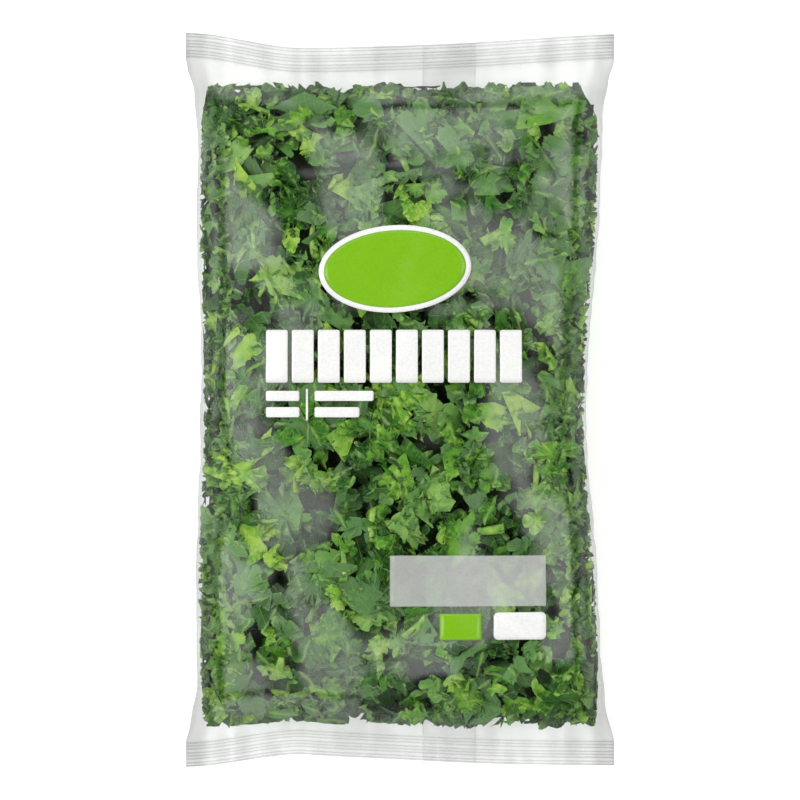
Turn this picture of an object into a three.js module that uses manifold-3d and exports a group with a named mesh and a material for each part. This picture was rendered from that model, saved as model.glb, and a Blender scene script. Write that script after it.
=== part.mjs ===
// A clear pillow bag packed with chopped curly kale, lying on its back.
// Millimetres, +Z up. X runs across the bag and Y along it, towards its top end.
// The origin is on the surface that the bag lies on, under the middle of the bag.

import * as THREE from "three";
import { mergeVertices } from "three/addons/utils/BufferGeometryUtils.js";
import Module from "manifold-3d";

const wasm = await Module();
wasm.setup();

// The bag: its flat width shows in the end seals, and its waist is pulled in by the filling
const SEAL_WIDTH = 200;
const BAG_LENGTH = 342.5;
const CRIMP_DEPTH = 12;
const WAIST_WIDTH = 180;
const SHOULDER_WIDTH = 187.6;
const WAIST_SHIFT = -2.8;
const WAIST_END = 10;
const SHOULDER_START = 95;
const BAG_HEIGHT = 46;
const WIDEST_HEIGHT = 20;
const SEAL_HEIGHT = 15;
const FILM_WALL = 0.9;
const SEAL_THICKNESS = 1;
const VENT_DIAMETER = 5;
const VENT_PLACE = [-48, 118];

// How the film leaves the seals: full height after this run, and the flare of its sides
const SWELL_RUN = 55;
const SWELL_POWER = 0.8;
const FLARE_RUN = 16;
const FLARE_POWER = 1.2;
const SECTION_POWER = 2.8;
const SEAL_POWER = 7;
const BASE_DEPTH = 27.5;
const LUMP_HEIGHT = 1.3;
const LUMP_SINK = 0.35;

// Crimp ribs across each seal, counted inwards from the edge, in groups
const RIB_GROUPS = [2, 3, 3];
const RIB_PITCH = 1.37;
const RIB_GROUP_GAP = 1.88;
const FIRST_RIB = 0.4;
const RIB_HEIGHT = 0.35;

// The ends wave: each dips inwards a quarter of the way across, and rolls up and down
const DIP_PLACE = 0.27;
const TOP_DIP_END = 1.15;
const BOTTOM_DIP_FADE = 2.86;
const TOP_DIP = 6.8;
const BOTTOM_DIP = 5.8;
const ROLL_HEIGHT = 3.2;
const ROLL_TURNS = [1, 2.23];
const QUICK_ROLL_SHARE = 0.4;
const ROLL_START = [0.6, 2.1];
const WAVE_RUN = 48;

// The seam along the back is a strip, flush where the bag is flat and proud at both ends
const SEAM_CENTRE = 23;
const SEAM_WIDTH = 25;
const SEAM_PROUD = 0.6;
const SEAM_FLAT_HALF = 134;
const SEAM_STATIONS = [SEAM_FLAT_HALF, 139, 144, 149, 153, 157, 159];
const GROOVE = 0.8;
const GROOVE_DEPTH = 0.35;

// The kale: one layer against the front film and one against the back
const FILLING_CLEARANCE = 0.6;
const FILLING_FROM_SEAL = 10;
const CORE_INSET = 10;
const LAYER_GAP = 0.4;
const LEAF_ROWS = 8;
const LEAF_COLUMNS = 6;
const ROW_STAGGER = [0.7, 0.3];
const LEAF_SIZE = [45, 55];
const LEAF_ASPECT = [0.74, 0.95];
const LEAF_THICKNESS = 0.9;
const LEAF_DEPTH = 5;
const LEAF_TILT = [0.16, 0.34];
const LEAF_JITTER = 9;
const LEAF_RIM_POINTS = 9;
const LEAF_LOBES = [0.9, 1.05];
const LOBE_SPREAD = 0.16;
const LEAF_CURL = 3;
const RUFFLE = 1.9;
const KNIFE_CUT = [0.4, 1.1];
const STEMS_PER_LAYER = 5;
const STEM_LENGTH = [26, 42];
const STEM_RADIUS = 3;
const STEM_SIDES = 6;
const STEM_TAPER = 0.8;
const STEM_TILT = 0.08;
const STEM_SPREAD = 1.3;

const HALF_LENGTH = BAG_LENGTH / 2;
const SEAL_LINE = HALF_LENGTH - CRIMP_DEPTH;
const RING_POINTS = 28;
const RING_SPREAD = 0.75;
const CORE_RING_POINTS = 20;
const STATIONS_FROM_SEAL = [3, 8, 14, 22, 32, 45, 62, 82, 105, 131];
const MERGE_DISTANCE = 1e-5;
const FRAME_STEP = 0.02;
const { clamp, lerp, smoothstep } = THREE.MathUtils;

function seededRandom(seed) {
  let state = seed;
  return () => {
    state = (state + 0x6d2b79f5) | 0;
    let mixed = Math.imul(state ^ (state >>> 15), 1 | state);
    mixed = (mixed + Math.imul(mixed ^ (mixed >>> 7), 61 | mixed)) ^ mixed;
    return ((mixed ^ (mixed >>> 14)) >>> 0) / 4294967296;
  };
}

// Bag surface

function swell(fromSeal) {
  const share = clamp(fromSeal / SWELL_RUN, 0, 1);
  return Math.sin((Math.PI / 2) * share ** SWELL_POWER);
}

function halfWidth(y) {
  const fromSeal = Math.max(0, SEAL_LINE - Math.abs(y));
  const shoulder = smoothstep(Math.abs(y), WAIST_END, SHOULDER_START);
  const body = lerp(WAIST_WIDTH, SHOULDER_WIDTH, shoulder) / 2;
  const flare = Math.exp(-((fromSeal / FLARE_RUN) ** FLARE_POWER));
  return body + (SEAL_WIDTH - SHOULDER_WIDTH) / 2 * flare;
}

function centreLine(y) {
  return WAIST_SHIFT * (1 - smoothstep(Math.abs(y + WAIST_END), 0, SEAL_LINE - WAIST_END));
}

function endDip(x, y) {
  const share = clamp(x / SEAL_WIDTH + 0.5, 0, 1);
  const lead = smoothstep(share, 0, DIP_PLACE);
  if (y > 0) {
    return TOP_DIP * lead * (1 - smoothstep(share, DIP_PLACE, TOP_DIP_END));
  }
  return BOTTOM_DIP * lead * Math.exp(-BOTTOM_DIP_FADE * Math.max(0, share - DIP_PLACE));
}

function endRoll(x, y) {
  const turn = 2 * Math.PI * (x / SEAL_WIDTH + 0.5);
  const start = ROLL_START[y > 0 ? 0 : 1];
  const [slow, quick] = ROLL_TURNS;
  const ripple = QUICK_ROLL_SHARE * Math.sin(quick * turn + 2 * start);
  return ROLL_HEIGHT * (Math.sin(slow * turn + start) + ripple);
}

function lumps(x, y) {
  return LUMP_HEIGHT * (Math.sin(x / 13 + y / 31) * Math.sin(y / 15 - x / 40) - LUMP_SINK);
}

// A point of the bag's surface, moved inwards by an inset. across runs from -1 to 1,
// side is 1 on the front and -1 on the back, and bend is the crimp's own height
function surfacePoint(across, side, y, inset, bend = 0) {
  const fill = swell(SEAL_LINE - Math.abs(y));
  const power = lerp(SEAL_POWER, SECTION_POWER, smoothstep(fill, 0, 0.4));
  const arch = (1 - Math.min(1, Math.abs(across)) ** power) ** (1 / power);
  const fullReach = side > 0 ? BAG_HEIGHT - WIDEST_HEIGHT : BASE_DEPTH;
  const reach = lerp(SEAL_THICKNESS / 2, fullReach, fill) - inset;
  const x = centreLine(y) + (halfWidth(y) - inset) * across;
  const endShare = 1 - smoothstep(SEAL_LINE - Math.abs(y), 0, WAVE_RUN);
  const middle = lerp(SEAL_HEIGHT, WIDEST_HEIGHT, smoothstep(fill, 0, 1)) + endRoll(x, y) * endShare;
  const swollen = side > 0 ? lumps(x, y) * fill * arch : 0;
  const z = middle + side * reach * arch + swollen + bend;
  return new THREE.Vector3(x, y - Math.sign(y) * endDip(x, y) * endShare, Math.max(z, inset));
}

function ring(y, inset, count, bend = 0) {
  const points = [];
  for (let i = 0; i < count; i += 1) {
    const turn = (2 * Math.PI * i) / count;
    const cosine = Math.cos(turn);
    const across = Math.sign(cosine) * Math.abs(cosine) ** RING_SPREAD;
    const side = i < count / 2 ? 1 : -1;
    points.push(surfacePoint(across, side, y, inset, bend));
  }
  return points;
}

// Closed solid through rings of an even number of points, whose ends are filled by strips
function loft(rings) {
  const count = rings[0].length;
  const last = (rings.length - 1) * count;
  const index = [];
  for (let row = 0; row < rings.length - 1; row += 1) {
    for (let i = 0; i < count; i += 1) {
      const a = row * count + i;
      const b = row * count + ((i + 1) % count);
      index.push(a, a + count, b, b, a + count, b + count);
    }
  }
  for (let i = 0; i < count / 2; i += 1) {
    const back = (count - i) % count;
    const next = count - i - 1;
    if (i > 0) {
      index.push(back, i, i + 1);
      index.push(last + i, last + back, last + i + 1);
    }
    if (next !== i + 1) {
      index.push(back, i + 1, next);
      index.push(last + i + 1, last + back, last + next);
    }
  }
  const coordinates = rings.flat().flatMap((point) => point.toArray());
  return toSolid(meshGeometry(coordinates, index));
}

// Solids

function meshGeometry(coordinates, index) {
  const geometry = new THREE.BufferGeometry();
  geometry.setAttribute("position", new THREE.Float32BufferAttribute(coordinates, 3));
  geometry.setIndex(index);
  return geometry;
}

function signedVolume(positions, triangles) {
  const [a, b, c] = [new THREE.Vector3(), new THREE.Vector3(), new THREE.Vector3()];
  let sum = 0;
  for (let i = 0; i < triangles.length; i += 3) {
    a.fromArray(positions, 3 * triangles[i]);
    b.fromArray(positions, 3 * triangles[i + 1]);
    c.fromArray(positions, 3 * triangles[i + 2]);
    sum += a.dot(b.cross(c)) / 6;
  }
  return sum;
}

function toSolid(geometry) {
  const bare = geometry.clone();
  bare.deleteAttribute("normal");
  bare.deleteAttribute("uv");
  const merged = mergeVertices(bare, MERGE_DISTANCE);
  const vertProperties = Float32Array.from(merged.attributes.position.array);
  const triVerts = Uint32Array.from(merged.index.array);
  if (signedVolume(vertProperties, triVerts) < 0) {
    triVerts.reverse();
  }
  return new wasm.Manifold(new wasm.Mesh({ numProp: 3, vertProperties, triVerts }));
}

// The largest closed shell of a solid: loose scraps are dropped and sealed hollows filled
function mainShell(solid) {
  const mesh = solid.getMesh();
  const whole = mergeVertices(meshGeometry(mesh.vertProperties, Array.from(mesh.triVerts)), MERGE_DISTANCE);
  const { array } = whole.index;
  const parent = Array.from({ length: whole.attributes.position.count }, (_, i) => i);
  const root = (i) => {
    while (parent[i] !== i) {
      parent[i] = parent[parent[i]];
      i = parent[i];
    }
    return i;
  };
  for (let i = 0; i < array.length; i += 3) {
    parent[root(array[i])] = root(array[i + 1]);
    parent[root(array[i + 1])] = root(array[i + 2]);
  }
  const shells = new Map();
  for (let i = 0; i < array.length; i += 3) {
    const key = root(array[i]);
    if (!shells.has(key)) {
      shells.set(key, []);
    }
    shells.get(key).push(array[i], array[i + 1], array[i + 2]);
  }
  const volume = (shell) => signedVolume(whole.attributes.position.array, shell);
  const larger = (best, shell) => (volume(shell) > volume(best) ? shell : best);
  whole.setIndex([...shells.values()].reduce(larger));
  return whole;
}

function boxSolid(size, centre) {
  const geometry = new THREE.BoxGeometry(...size);
  geometry.translate(...centre);
  return toSolid(geometry);
}

// Film

function bodyStations(closest = 0) {
  const ends = STATIONS_FROM_SEAL.filter((s) => s >= closest).map((s) => SEAL_LINE - s);
  return [...ends.map((y) => -y), 0, ...ends.toReversed()];
}

// Rows of one crimped seal, from its edge inwards: distance from the edge and height
function crimpRows() {
  const grooves = [];
  let place = FIRST_RIB;
  for (const group of RIB_GROUPS) {
    for (let i = 0; i < group; i += 1) {
      grooves.push(place);
      place += RIB_PITCH;
    }
    place += RIB_GROUP_GAP - RIB_PITCH;
  }
  const rows = [[0, RIB_HEIGHT]];
  grooves.forEach((groove, i) => {
    rows.push([groove, -RIB_HEIGHT]);
    const next = i + 1 < grooves.length ? grooves[i + 1] : CRIMP_DEPTH + RIB_PITCH / 2;
    rows.push([(groove + next) / 2, RIB_HEIGHT]);
  });
  return rows;
}

function filmOutside() {
  const crimp = crimpRows();
  const rings = [];
  for (const [depth, bend] of crimp) {
    rings.push(ring(-(HALF_LENGTH - depth), 0, RING_POINTS, bend));
  }
  for (const y of bodyStations()) {
    rings.push(ring(y, 0, RING_POINTS));
  }
  for (const [depth, bend] of crimp.toReversed()) {
    rings.push(ring(HALF_LENGTH - depth, 0, RING_POINTS, bend));
  }
  return loft(rings);
}

// One end of the back seam, where its strip lies proud of the film that rises to the seal
function seamEnd(end) {
  const rings = [];
  for (const y of SEAM_STATIONS) {
    const rows = [-0.5, 0, 0.5].map((share) => {
      const x = SEAM_CENTRE + share * SEAM_WIDTH;
      const across = (x - centreLine(end * y)) / halfWidth(end * y);
      return surfacePoint(across, -1, end * y, 0);
    });
    const atHeight = (p, z) => new THREE.Vector3(p.x, p.y, z);
    const under = rows.map((p) => atHeight(p, Math.max(p.z - SEAM_PROUD, FILM_WALL / 4)));
    const over = rows.map((p) => atHeight(p, p.z + FILM_WALL / 2));
    rings.push([under[2], over[2], over[1], over[0], under[0], under[1]]);
  }
  return loft(rings);
}

function seamGroove(side) {
  const x = SEAM_CENTRE + side * (SEAM_WIDTH / 2);
  return boxSolid([GROOVE, 2 * SEAM_FLAT_HALF, 2 * GROOVE_DEPTH], [x, 0, 0]);
}

function vent() {
  const geometry = new THREE.CylinderGeometry(VENT_DIAMETER / 2, VENT_DIAMETER / 2, 6 * FILM_WALL, 12);
  geometry.rotateX(Math.PI / 2);
  geometry.translate(...VENT_PLACE, 0);
  return toSolid(geometry);
}

function filmGeometry() {
  const cavity = loft(bodyStations().map((y) => ring(y, FILM_WALL, RING_POINTS)));
  return mainShell(
    filmOutside()
      .add(seamEnd(1))
      .add(seamEnd(-1))
      .subtract(cavity)
      .subtract(seamGroove(1))
      .subtract(seamGroove(-1))
      .subtract(vent())
  );
}

// Kale

// Shares across the bag that lie evenly spaced along its arched section, from a first share on
function evenShares(y, side, count, first) {
  const steps = 80;
  const places = [];
  const lengths = [0];
  for (let i = 0; i <= steps; i += 1) {
    places.push(surfacePoint(-Math.cos((Math.PI * i) / steps), side, y, FILM_WALL));
    if (i > 0) {
      lengths.push(lengths[i - 1] + places[i].distanceTo(places[i - 1]));
    }
  }
  return Array.from({ length: count }, (_, i) => {
    const wanted = ((i + first) / count) * lengths[steps];
    const step = lengths.findIndex((length) => length >= wanted);
    return -Math.cos((Math.PI * step) / steps);
  });
}

// Frame on the filling's surface: its place, its outward direction and one along the surface
function surfaceFrame(across, side, y, inset, heading) {
  const place = surfacePoint(across, side, y, inset);
  const nudge = across > 0 ? -FRAME_STEP : FRAME_STEP;
  const sideways = surfacePoint(across + nudge, side, y, inset).sub(place).normalize();
  const along = surfacePoint(across, side, y + 1, inset).sub(place).normalize();
  const outward = new THREE.Vector3().crossVectors(sideways, along).normalize();
  const middle = new THREE.Vector3(centreLine(y), y, WIDEST_HEIGHT);
  if (outward.dot(place.clone().sub(middle)) < 0) {
    outward.negate();
  }
  const forward = along.applyAxisAngle(outward, heading);
  return { place, outward, forward };
}

function placed(geometry, { place, outward, forward }, tilt) {
  const side = new THREE.Vector3().crossVectors(outward, forward).normalize();
  const matrix = new THREE.Matrix4().makeBasis(forward, side, outward);
  geometry.rotateY(-tilt);
  geometry.applyMatrix4(matrix);
  geometry.translate(place.x, place.y, place.z);
  return toSolid(geometry);
}

// A chopped piece of curly leaf: a ruffled lobed rim round a hollowed middle, one edge cut straight
function leafGeometry(random) {
  const length = lerp(...LEAF_SIZE, random());
  const width = length * lerp(...LEAF_ASPECT, random());
  const knife = lerp(...KNIFE_CUT, random());
  const curl = lerp(-LEAF_CURL, LEAF_CURL, random());
  const positions = [0, 0, curl];
  const rim = Array.from({ length: LEAF_RIM_POINTS }, (_, i) => {
    const angle = (2 * Math.PI * i) / LEAF_RIM_POINTS;
    const lobe = LEAF_LOBES[i % 2] + LOBE_SPREAD * (random() - 0.5);
    const x = (length / 2) * Math.min(Math.cos(angle) * lobe, knife);
    const ruffle = (i % 2 ? -RUFFLE : RUFFLE) * lerp(0.6, 1.2, random());
    return [x, (width / 2) * Math.sin(angle) * lobe, ruffle];
  });
  positions.push(...rim.flat());
  const underside = positions.map((value, i) => (i % 3 === 2 ? value - LEAF_THICKNESS : value));
  const under = LEAF_RIM_POINTS + 1;
  const index = [];
  for (let i = 0; i < LEAF_RIM_POINTS; i += 1) {
    const a = 1 + i;
    const b = 1 + ((i + 1) % LEAF_RIM_POINTS);
    index.push(0, a, b, under, under + b, under + a);
    index.push(a, under + a, b, b, under + a, under + b);
  }
  return meshGeometry([...positions, ...underside], index);
}

function stemGeometry(random) {
  const length = lerp(...STEM_LENGTH, random());
  const geometry = new THREE.CylinderGeometry(STEM_RADIUS, STEM_TAPER * STEM_RADIUS, length, STEM_SIDES);
  geometry.rotateZ(Math.PI / 2);
  return geometry;
}

function kaleLayer(side, seed) {
  const random = seededRandom(seed);
  const inset = FILM_WALL + FILLING_CLEARANCE;
  const reach = SEAL_LINE - FILLING_FROM_SEAL;
  const coreStations = bodyStations(FILLING_FROM_SEAL + CORE_INSET);
  let solid = loft(coreStations.map((y) => ring(y, CORE_INSET, CORE_RING_POINTS)));
  for (let row = 0; row < LEAF_ROWS; row += 1) {
    const y = lerp(-reach, reach, (row + 0.5) / LEAF_ROWS);
    for (const across of evenShares(y, side, LEAF_COLUMNS, ROW_STAGGER[row % 2])) {
      const heading = 2 * Math.PI * random();
      const jitter = LEAF_JITTER * (random() - 0.5);
      const frame = surfaceFrame(across, side, y + jitter, inset + LEAF_DEPTH, heading);
      solid = solid.add(placed(leafGeometry(random), frame, lerp(...LEAF_TILT, random())));
    }
  }
  for (let i = 0; i < STEMS_PER_LAYER; i += 1) {
    const y = lerp(-reach, reach, (i + 0.5) / STEMS_PER_LAYER);
    const across = STEM_SPREAD * (random() - 0.5);
    const frame = surfaceFrame(across, side, y, inset + STEM_RADIUS, Math.PI * random());
    solid = solid.add(placed(stemGeometry(random), frame, STEM_TILT));
  }
  const envelope = loft(bodyStations(FILLING_FROM_SEAL).map((y) => ring(y, inset, RING_POINTS)));
  const half = boxSolid(
    [SEAL_WIDTH, BAG_LENGTH, BAG_HEIGHT],
    [0, 0, WIDEST_HEIGHT + (side * (BAG_HEIGHT + LAYER_GAP)) / 2]
  );
  return mainShell(solid.intersect(envelope).intersect(half));
}

// Materials and assembly

const film = new THREE.MeshStandardMaterial({
  color: 0xeef2ee,
  roughness: 0.22,
  metalness: 0,
  transparent: true,
  opacity: 0.35,
});
const frontKale = new THREE.MeshStandardMaterial({ color: 0x4a6b35, roughness: 0.6, metalness: 0 });
const backKale = new THREE.MeshStandardMaterial({ color: 0x3f5f2e, roughness: 0.65, metalness: 0 });

function named(name, geometry, material) {
  const mesh = new THREE.Mesh(geometry, material);
  mesh.name = name;
  return mesh;
}

const group = new THREE.Group();
group.add(named("film_bag", filmGeometry(), film));
group.add(named("kale_front_layer", kaleLayer(1, 11), frontKale));
group.add(named("kale_back_layer", kaleLayer(-1, 29), backKale));

export default group;
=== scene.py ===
"""A clear pillow bag packed with chopped curly kale, lying on its back, seen from straight above."""
import math

import bpy
import numpy as np
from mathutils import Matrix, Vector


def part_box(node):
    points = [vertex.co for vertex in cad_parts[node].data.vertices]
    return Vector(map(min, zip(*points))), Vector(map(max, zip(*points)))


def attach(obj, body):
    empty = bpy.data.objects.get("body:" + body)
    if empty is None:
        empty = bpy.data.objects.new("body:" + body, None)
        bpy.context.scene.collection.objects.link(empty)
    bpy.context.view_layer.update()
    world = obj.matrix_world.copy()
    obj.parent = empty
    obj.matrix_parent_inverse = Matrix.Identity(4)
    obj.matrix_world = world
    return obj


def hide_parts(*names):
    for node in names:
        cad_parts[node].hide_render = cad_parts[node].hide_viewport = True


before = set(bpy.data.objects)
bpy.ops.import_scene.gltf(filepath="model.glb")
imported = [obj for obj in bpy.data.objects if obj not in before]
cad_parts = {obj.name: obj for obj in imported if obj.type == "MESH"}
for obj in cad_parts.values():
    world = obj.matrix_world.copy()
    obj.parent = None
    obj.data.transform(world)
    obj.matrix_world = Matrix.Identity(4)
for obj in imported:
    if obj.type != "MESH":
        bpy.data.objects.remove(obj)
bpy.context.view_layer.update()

# The script works in millimetres, and make_mesh turns them into Blender's metres.
MM = 0.001

# The bag's sizes, from the frame
FILM_LOW, FILM_HIGH = (np.array(corner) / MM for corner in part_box("film_bag"))
SEAL_WIDTH = FILM_HIGH[0] - FILM_LOW[0]
BAG_LENGTH = FILM_HIGH[1] - FILM_LOW[1]
HALF_LENGTH = BAG_LENGTH / 2

# The form of the bag: waist, shoulders, swelling from the seals and waves of its ends
CRIMP_DEPTH = 12
SEAL_LINE = HALF_LENGTH - CRIMP_DEPTH
WAIST_WIDTH, SHOULDER_WIDTH, WAIST_SHIFT = 180, 187.6, -2.8
WAIST_END, SHOULDER_START = 10, 95
BAG_HEIGHT, WIDEST_HEIGHT, SEAL_HEIGHT, BASE_DEPTH = 46, 20, 15, 27.5
SEAL_THICKNESS = 0.5
SWELL_RUN, SWELL_POWER = 55, 0.8
FLARE_RUN, FLARE_POWER = 16, 1.2
SECTION_POWER, SEAL_POWER = 2.8, 7
FULL_SECTION, EDGE_CROWDING = 0.4, 0.75
LUMP_HEIGHT, LUMP_SINK, LUMP_LENGTHS = 1.3, 0.35, (13, 31, 15, 40)
RIB_GROUPS, RIB_PITCH, RIB_GROUP_GAP, FIRST_RIB, RIB_HEIGHT = (2, 3, 3), 1.37, 1.88, 0.4, 0.3
DIP_PLACE, TOP_DIP, BOTTOM_DIP = 0.27, 6.8, 5.8
TOP_DIP_END, BOTTOM_DIP_FADE = 1.15, 2.86
ROLL_HEIGHT, ROLL_TURNS, QUICK_ROLL_SHARE = 3.2, (1, 2.23), 0.4
TOP_ROLL_START, BOTTOM_ROLL_START = 0.6, 2.1
WAVE_RUN = 48
FILM_LIFT = 0.35
SEAM_CENTRE, SEAM_WIDTH, SEAM_COLUMNS = 23, 25, 9
SEAM_LAP, SEAM_DROPS, SEAM_EDGE_RUN = -0.05, (0.06, 0.3), 0.5

# The filling: how far it reaches towards the two ends, how near it comes to film and seals, and
# how softly each side of the film presses on it
FILLING_TOP, FILLING_BOTTOM, FILLING_FRINGE, SIDE_FRINGE = 149, -154, 4, 0.9
FILLING_FROM_SEAL = 3
FILM_GAP, SIDE_GAP = 0.9, 0.6
TOP_CORNER_INSETS, BOTTOM_CORNER_INSETS, CORNER_RUN = (4, 10), (0.5, 1.5), (34, 8)
END_SOFTNESS, SIDE_SOFTNESS, FRONT_SOFTNESS, BACK_SOFTNESS = 1.5, 0.012, 0.9, 1.2
LEAST_ROOM, ROW_ROUNDS = 0.2, 4

# The view: the photograph is 800 pixels wide, and the bag's seals take 428 of them
FRAME_PIXELS, SEAL_PIXELS = 800, 428
VIEW_DISTANCE = 1800
SENSOR, CLIP_END = 36, 20


def smoothstep(value, low, high):
    t = np.clip((value - low) / (high - low), 0, 1)
    return t * t * (3 - 2 * t)


def lerp(low, high, share):
    return low + (high - low) * share


def bell(value):
    return np.exp(-(value ** 2))


# Surface of the bag

# Crossed sine waves of a noise: their count, the spread of their lengths, and what divides their sum
WAVE_COUNT, WAVE_SPREAD, WAVE_SUM = 7, (0.7, 1.5), 3.2
# Each noise: height, length, seed, and how much it is squeezed across and along the bag
NOISES = {
    "leaf bumps": (0.35, 26, 1, 1, 1),
    "small leaf bumps": (0.18, 11, 2, 1, 1),
    "pleats": (1.0, 13, 3, 1, 0.18),
    "crease wander": (1.6, 90, 5, 1, 1),
    "crease jitter": (0.7, 10, 6, 1, 1),
    "core": (1.6, 15, 21, 1, 1),
    "window edges": (0.5, 52, 31, 1, 1),
    "milky patches": (1.0, 46, 32, 1, 1),
    "patch detail": (0.3, 15, 33, 1, 1),
    "wall streaks": (0.03, 14, 34, 3, 0.35),
    "streaks": (1.0, 4, 35, 0.1, 1),
    "shade": (1.0, 60, 41, 1, 1),
    "pleat shade": (1.0, 11, 42, 1.2, 0.15),
}


def swell(from_seal):
    share = np.clip(from_seal / SWELL_RUN, 0, 1)
    return np.sin(np.pi / 2 * share ** SWELL_POWER)


def body_half_width(y):
    return lerp(WAIST_WIDTH, SHOULDER_WIDTH, smoothstep(abs(y), WAIST_END, SHOULDER_START)) / 2


def half_width(y):
    from_seal = np.maximum(0, SEAL_LINE - abs(y))
    body = body_half_width(y)
    flare = np.exp(-((from_seal / FLARE_RUN) ** FLARE_POWER))
    return body + (SEAL_WIDTH - SHOULDER_WIDTH) / 2 * flare


def centre_line(y):
    return WAIST_SHIFT * (1 - smoothstep(abs(y + WAIST_END), 0, SEAL_LINE - WAIST_END))


def end_dip(x, y):
    share = np.clip(x / SEAL_WIDTH + 0.5, 0, 1)
    lead = smoothstep(share, 0, DIP_PLACE)
    top = TOP_DIP * (1 - smoothstep(share, DIP_PLACE, TOP_DIP_END))
    bottom = BOTTOM_DIP * np.exp(-BOTTOM_DIP_FADE * np.maximum(0, share - DIP_PLACE))
    return lead * np.where(y > 0, top, bottom)


def end_roll(x, y):
    turn = 2 * np.pi * (x / SEAL_WIDTH + 0.5)
    start = np.where(y > 0, TOP_ROLL_START, BOTTOM_ROLL_START)
    slow, quick = ROLL_TURNS
    return ROLL_HEIGHT * (np.sin(slow * turn + start) + QUICK_ROLL_SHARE * np.sin(quick * turn + 2 * start))


def lumps(x, y):
    first, second, third, fourth = LUMP_LENGTHS
    return LUMP_HEIGHT * (np.sin(x / first + y / second) * np.sin(y / third - x / fourth) - LUMP_SINK)


def surface(across, side, y, inset):
    """The bag's smooth surface, moved inwards: across is -1 to 1, side 1 in front and -1 behind."""
    from_seal = SEAL_LINE - abs(y)
    fill = swell(from_seal)
    power = lerp(SEAL_POWER, SECTION_POWER, smoothstep(fill, 0, FULL_SECTION))
    arch = (1 - np.minimum(1, abs(across)) ** power) ** (1 / power)
    full_reach = np.where(side > 0, BAG_HEIGHT - WIDEST_HEIGHT, BASE_DEPTH)
    reach = lerp(SEAL_THICKNESS / 2, full_reach, fill) - inset
    x = centre_line(y) + (half_width(y) - inset) * across
    end_share = 1 - smoothstep(from_seal, 0, WAVE_RUN)
    middle = lerp(SEAL_HEIGHT, WIDEST_HEIGHT, smoothstep(fill, 0, 1)) + end_roll(x, y) * end_share
    swollen = np.where(side > 0, lumps(x, y) * fill * arch, 0)
    z = middle + side * reach * arch + swollen
    shifted = y - np.sign(y) * end_dip(x, y) * end_share
    return np.stack([x, shifted, np.maximum(z, FILM_LIFT + inset)], axis=-1)


def waves(x, y, length, seed):
    """Smooth noise of about -1 to 1: crossed sine waves whose directions are drawn from a seed."""
    draw = np.random.default_rng(seed)
    total = np.zeros_like(x + y)
    for _ in range(WAVE_COUNT):
        angle, phase = draw.uniform(0, 2 * np.pi, 2)
        own_length = length * draw.uniform(*WAVE_SPREAD)
        total = total + np.sin((x * np.cos(angle) + y * np.sin(angle)) * 2 * np.pi / own_length + phase)
    return total / WAVE_SUM


def noise(name, x, y):
    height, length, seed, across, along = NOISES[name]
    return height * waves(x * across, y * along, length, seed)


# Meshes


def make_mesh(name, points, faces, smooth=True):
    mesh = bpy.data.meshes.new(name)
    mesh.from_pydata((np.asarray(points) * MM).tolist(), [], faces)
    mesh.polygons.foreach_set("use_smooth", [smooth] * len(mesh.polygons))
    mesh.update()
    piece = bpy.data.objects.new(name, mesh)
    bpy.context.scene.collection.objects.link(piece)
    return piece


def add_values(piece, name, values):
    layer = piece.data.attributes.new(name, "FLOAT", "POINT")
    layer.data.foreach_set("value", np.asarray(values, dtype=float).ravel())


def finish_piece(piece, material, replaced=None):
    piece.data.materials.append(material)
    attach(piece, "root")
    if replaced:
        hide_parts(replaced)


def tube_faces(rows, columns):
    """Quads of a closed tube whose points run round it, anticlockwise seen from its first end."""
    around = np.arange(columns)
    down = np.arange(rows - 1)[:, None]
    a = down * columns + around
    b = down * columns + (around + 1) % columns
    return np.stack([a, b, b + columns, a + columns], axis=-1).reshape(-1, 4).tolist()


def section_grid(rows, columns):
    """Points round the bag, from +X under the back and over the front: their across, side and y."""
    turn = 2 * np.pi * np.arange(columns) / columns
    across = np.sign(np.cos(turn)) * abs(np.cos(turn)) ** EDGE_CROWDING
    side = np.where(np.arange(columns) < columns / 2, -1.0, 1.0)
    y = rows[:, None] + 0 * across
    return across + 0 * y, side + 0 * y, y


# Film

# Where the film is pressed clear on the leaves: centre and half axes of each window
CLEAR_WINDOWS = ((-4, -22, 44, 84), (-58, 117, 26, 25), (62, -139, 52, 17))
# Where it is streaked across, likewise
STREAK_ZONE = (-5, 106, 55, 12)
# How milky each part of the film is
HAZE = {
    "front": 0.15, "streaks": 0.07, "left wall": 0.045, "right wall": 0.06,
    "ends": 0.05, "crimps": 0.12, "back": 0.02, "seam": 0.012,
}
# Share of light that each part keeps back: the film's own faint grey and greyer seals, and painted
# shade in grooves, at seal edges, in soft patches, over walls and rims seen edge-on, in corners, pleats,
# creases and at the seam's edges
DIM = {
    "film": 0.012, "top seal": 0.035, "bottom seal": 0.01, "grooves": 0.15, "seal edge": 0.07,
    "shade": 0.045, "walls": 0.1, "rims": 0.05, "corners": 0.09, "pleats": 0.07, "creases": 0.24,
    "seam": 0.015, "seam edge": 0.04, "most": 0.6,
}
# Between which two values each of them sets in
WINDOW_EDGE, PATCH_EDGE, STREAK_EDGE, SHADE_EDGE = (0.75, 1.35), (-0.55, 0.35), (0.3, 1.0), (-0.4, 0.9)
WALL_EDGE, RIM_EDGE, END_EDGE, CRIMP_EDGE = (0.88, 0.93), (0.97, 1.0), (16, 2), (0.5, -0.5)
SEAL_EDGE_RUN, PLEAT_SHADE_RUN, CREASE_CLEARING = 0.4, 14, 1.6
# Creases along the sides and ends of the front
CREASE_SHARE, CREASE_INSET, CREASE_STOP, CREASE_FADE = 0.905, 2, 14, 8
CREASE_WIDTH, CREASE_HEIGHT = 2.0, 0.6
END_CREASE_GAP, END_CREASE_DEPTH, END_CREASE_FADE = 20, 0.6, 0.05
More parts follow.
